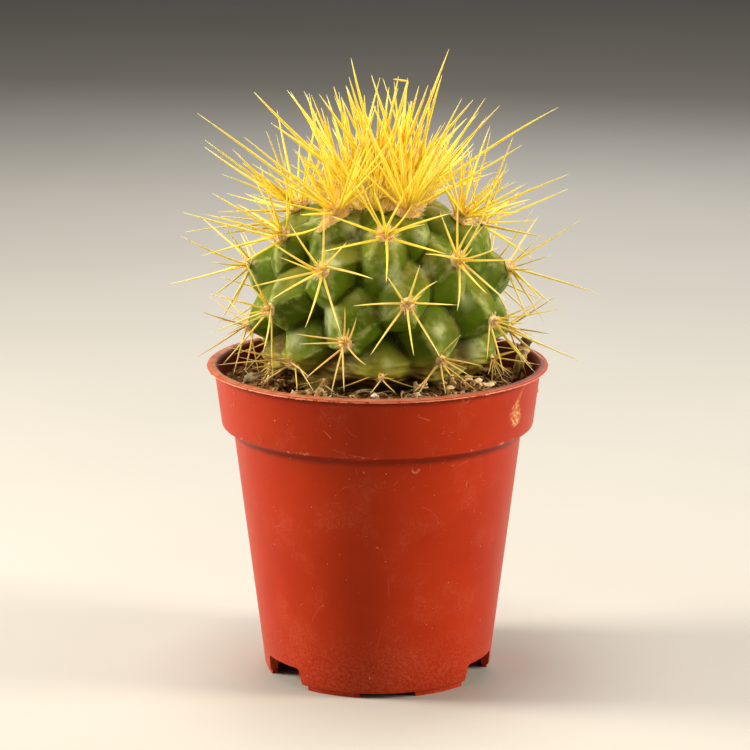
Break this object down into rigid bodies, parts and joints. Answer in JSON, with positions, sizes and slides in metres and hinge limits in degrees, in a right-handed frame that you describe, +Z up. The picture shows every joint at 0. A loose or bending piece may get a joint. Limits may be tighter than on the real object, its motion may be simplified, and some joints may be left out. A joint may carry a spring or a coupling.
{
  "type": "potted cactus",
  "caption": "Small round cactus with knobbly green flesh and clusters of golden spines, in a tapered terracotta-coloured plastic nursery pot with soil",
  "frame": {"origin": "middle of the pot's foot, on the pot's axis, level with the underside of the foot pads", "axes": "+Z up along the pot's axis, +X to the right and +Y to the back as seen in the picture"},
  "size_m": [0.0686, 0.0646, 0.1014],
  "materials": {
    "pot_plastic": "satin moulded plastic, lightly scuffed, paler worn rim",
    "soil_mix": "loose dark peat and bark crumbs",
    "cactus_skin": "waxy skin, satin, with grey bloom on the upper faces",
    "crown_spines": "bright yellow young spines in cream wool",
    "golden_spines": "golden spines, satin, with paler tips and cream felt pads",
    "aged_spines": "older brown-gold spines with worn grey tips",
    "dead_wood": "dry, rough and mottled",
    "grey_bark": "dry and rough",
    "white_grain": "chalky"
  },
  "bodies": {
    "root": {"pot": "pot_plastic", "soil": "soil_mix", "cactus_body": "cactus_skin", "crown": "crown_spines", "spine_cluster_01": "golden_spines", "spine_cluster_02": "golden_spines", "spine_cluster_03": "golden_spines", "spine_cluster_04": "golden_spines", "spine_cluster_05": "golden_spines", "spine_cluster_06": "golden_spines", "spine_cluster_07": "golden_spines", "spine_cluster_08": "golden_spines", "spine_cluster_09": "golden_spines", "spine_cluster_10": "golden_spines", "spine_cluster_11": "golden_spines", "spine_cluster_12": "golden_spines", "spine_cluster_13": "golden_spines", "spine_cluster_14": "golden_spines", "spine_cluster_15": "golden_spines", "spine_cluster_16": "golden_spines", "spine_cluster_17": "golden_spines", "spine_cluster_18": "golden_spines", "spine_cluster_19": "golden_spines", "spine_cluster_20": "golden_spines", "spine_cluster_21": "golden_spines", "spine_cluster_22": "golden_spines", "spine_cluster_23": "aged_spines", "spine_cluster_24": "aged_spines", "spine_cluster_25": "aged_spines", "spine_cluster_26": "aged_spines", "spine_cluster_27": "aged_spines", "spine_cluster_28": "aged_spines", "spine_cluster_29": "aged_spines", "spine_cluster_30": "aged_spines", "spine_cluster_31": "aged_spines", "spine_cluster_32": "aged_spines", "spine_cluster_33": "aged_spines", "spine_cluster_34": "aged_spines", "spine_cluster_35": "aged_spines", "spine_cluster_36": "aged_spines", "spine_cluster_37": "aged_spines", "spine_cluster_38": "aged_spines", "spine_cluster_39": "aged_spines", "spine_cluster_40": "aged_spines", "twig": "dead_wood", "bark_chip": "grey_bark", "white_grain_front": "white_grain", "white_grain_middle": "white_grain", "white_grain_right": "white_grain"}
  },
  "joints": []
}
